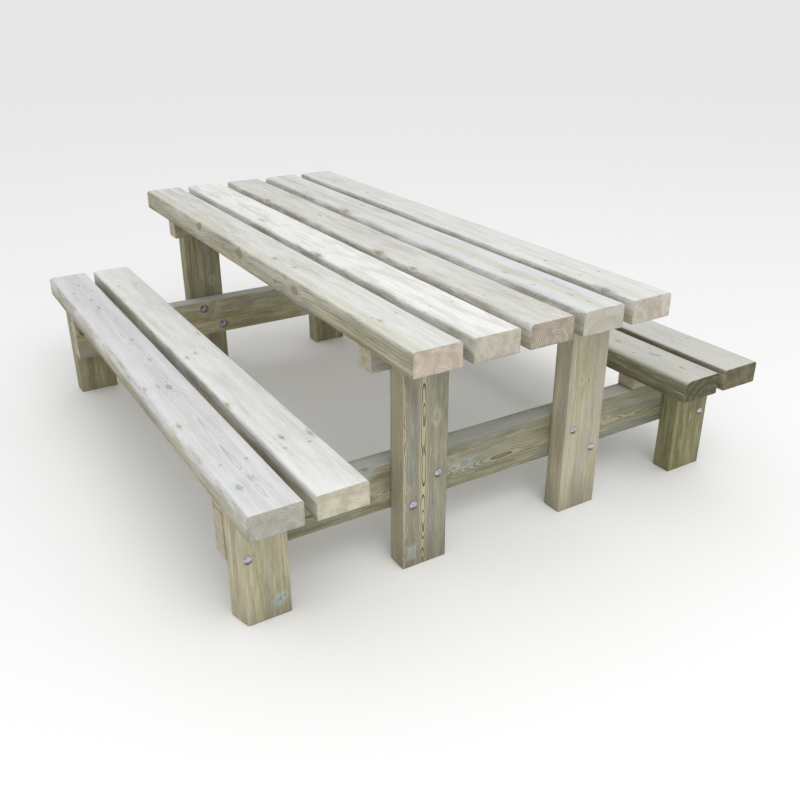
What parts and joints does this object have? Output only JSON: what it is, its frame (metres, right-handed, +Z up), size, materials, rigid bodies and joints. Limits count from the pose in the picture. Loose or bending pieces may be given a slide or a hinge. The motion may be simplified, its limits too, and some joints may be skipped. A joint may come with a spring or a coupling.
{
  "type": "picnic table",
  "caption": "Heavy timber walk-in picnic table: spaced-board top and two slatted benches joined by bolted end frames with low cross rails.",
  "frame": {"origin": "on the ground, in the middle of the table", "axes": "+X across the table from the left bench to the right bench, +Y along the boards towards the rear end, +Z up"},
  "size_m": [1.732, 2.08, 0.735],
  "materials": {
    "table_board_wood": "bleached, weathered green-treated softwood, matt",
    "seat_board_wood": "bleached, weathered green-treated softwood, matt",
    "leg_wood": "green-treated planed softwood, matt",
    "frame_wood": "green-treated planed softwood, matt",
    "bolt_zinc": "zinc-plated steel, lightly dulled",
    "screw_zinc": "coated steel, dulled"
  },
  "bodies": {
    "root": {"table_board_1": "table_board_wood", "table_board_2": "table_board_wood", "table_board_3": "table_board_wood", "table_board_4": "table_board_wood", "table_board_5": "table_board_wood", "left_seat_board_inner": "seat_board_wood", "left_seat_board_outer": "seat_board_wood", "right_seat_board_inner": "seat_board_wood", "right_seat_board_outer": "seat_board_wood", "front_left_table_leg": "leg_wood", "front_left_bench_leg": "leg_wood", "front_left_seat_packer": "frame_wood", "front_right_table_leg": "leg_wood", "front_right_bench_leg": "leg_wood", "front_right_seat_packer": "frame_wood", "front_cross_rail": "frame_wood", "front_table_bearer": "frame_wood", "front_frame_bolts": "bolt_zinc", "front_frame_washers": "bolt_zinc", "front_frame_nuts": "bolt_zinc", "front_tabletop_screws": "screw_zinc", "front_seat_screws": "screw_zinc", "rear_left_table_leg": "leg_wood", "rear_left_bench_leg": "leg_wood", "rear_left_seat_packer": "frame_wood", "rear_right_table_leg": "leg_wood", "rear_right_bench_leg": "leg_wood", "rear_right_seat_packer": "frame_wood", "rear_cross_rail": "frame_wood", "rear_table_bearer": "frame_wood", "rear_frame_bolts": "bolt_zinc", "rear_frame_washers": "bolt_zinc", "rear_frame_nuts": "bolt_zinc", "rear_tabletop_screws": "screw_zinc", "rear_seat_screws": "screw_zinc"}
  },
  "joints": []
}
